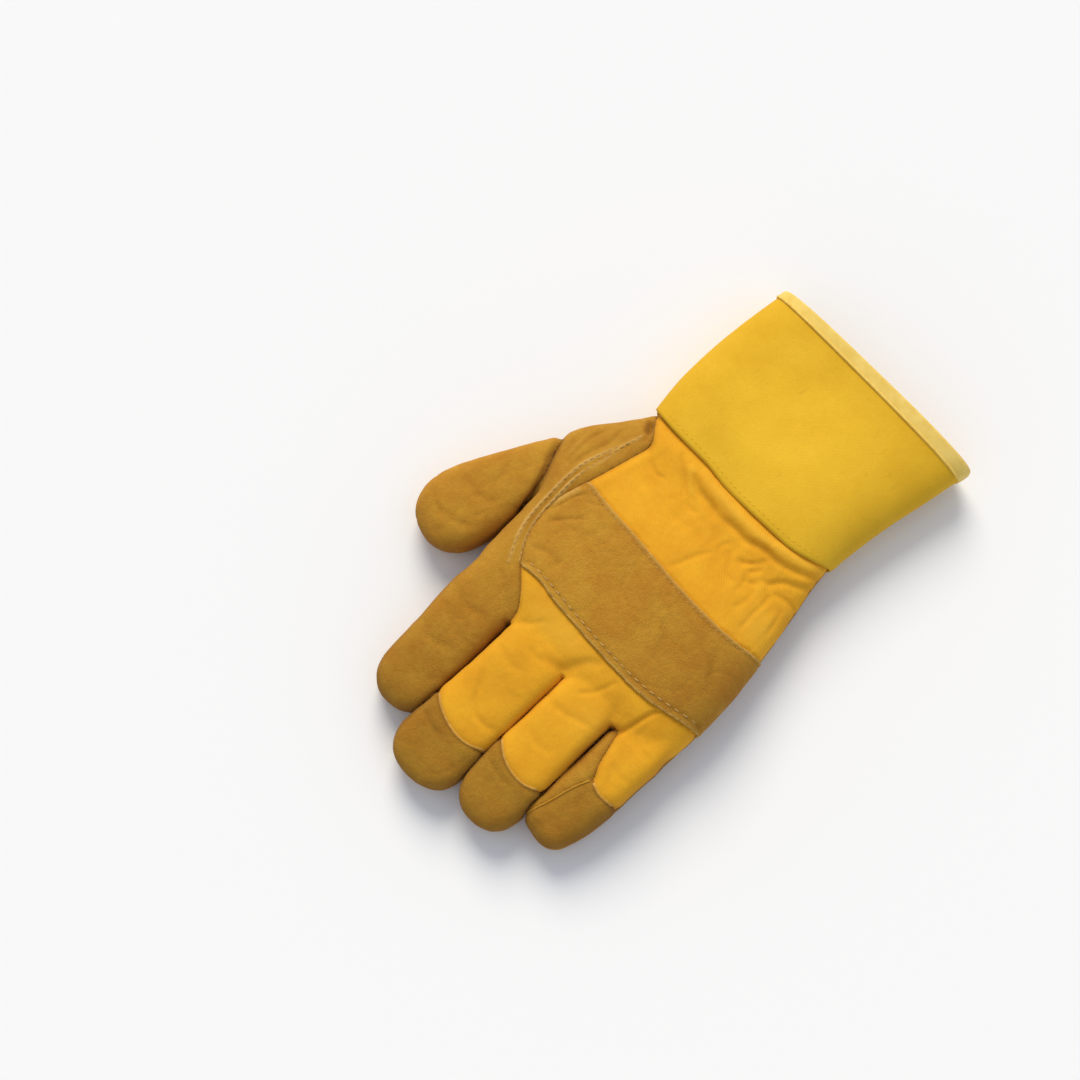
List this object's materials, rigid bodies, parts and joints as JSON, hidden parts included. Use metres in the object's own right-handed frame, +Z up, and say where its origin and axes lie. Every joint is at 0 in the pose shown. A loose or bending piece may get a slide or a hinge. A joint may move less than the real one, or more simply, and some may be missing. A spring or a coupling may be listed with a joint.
{
  "type": "leather and canvas work glove",
  "caption": "Left-hand work glove with a leather palm, fingers and knuckle strap, a cotton drill back and a flared safety cuff, lying palm down and open at the cuff.",
  "frame": {"origin": "under the middle of the glove's bounding box, on the surface that it lies on", "axes": "+Y from the fingertips to the cuff's opening, +X to the little finger's side, +Z up from the palm to the back of the hand"},
  "size_m": [0.1712, 0.2784, 0.0366],
  "materials": {
    "leather": "split suede leather",
    "drill": "cotton drill",
    "cuff_cloth": "starched, rubberised cotton",
    "binding_tape": "cotton tape",
    "piping": "folded welt"
  },
  "bodies": {
    "root": {"palm": "leather", "thumb": "leather", "middle_front": "leather", "ring_front": "leather", "back": "drill", "middle_tip": "leather", "ring_tip": "leather", "little_tip": "leather", "knuckle_strap": "leather", "cuff": "cuff_cloth", "cuff_binding": "binding_tape", "pulse_patch": "leather", "finger_welt": "piping"}
  },
  "joints": []
}
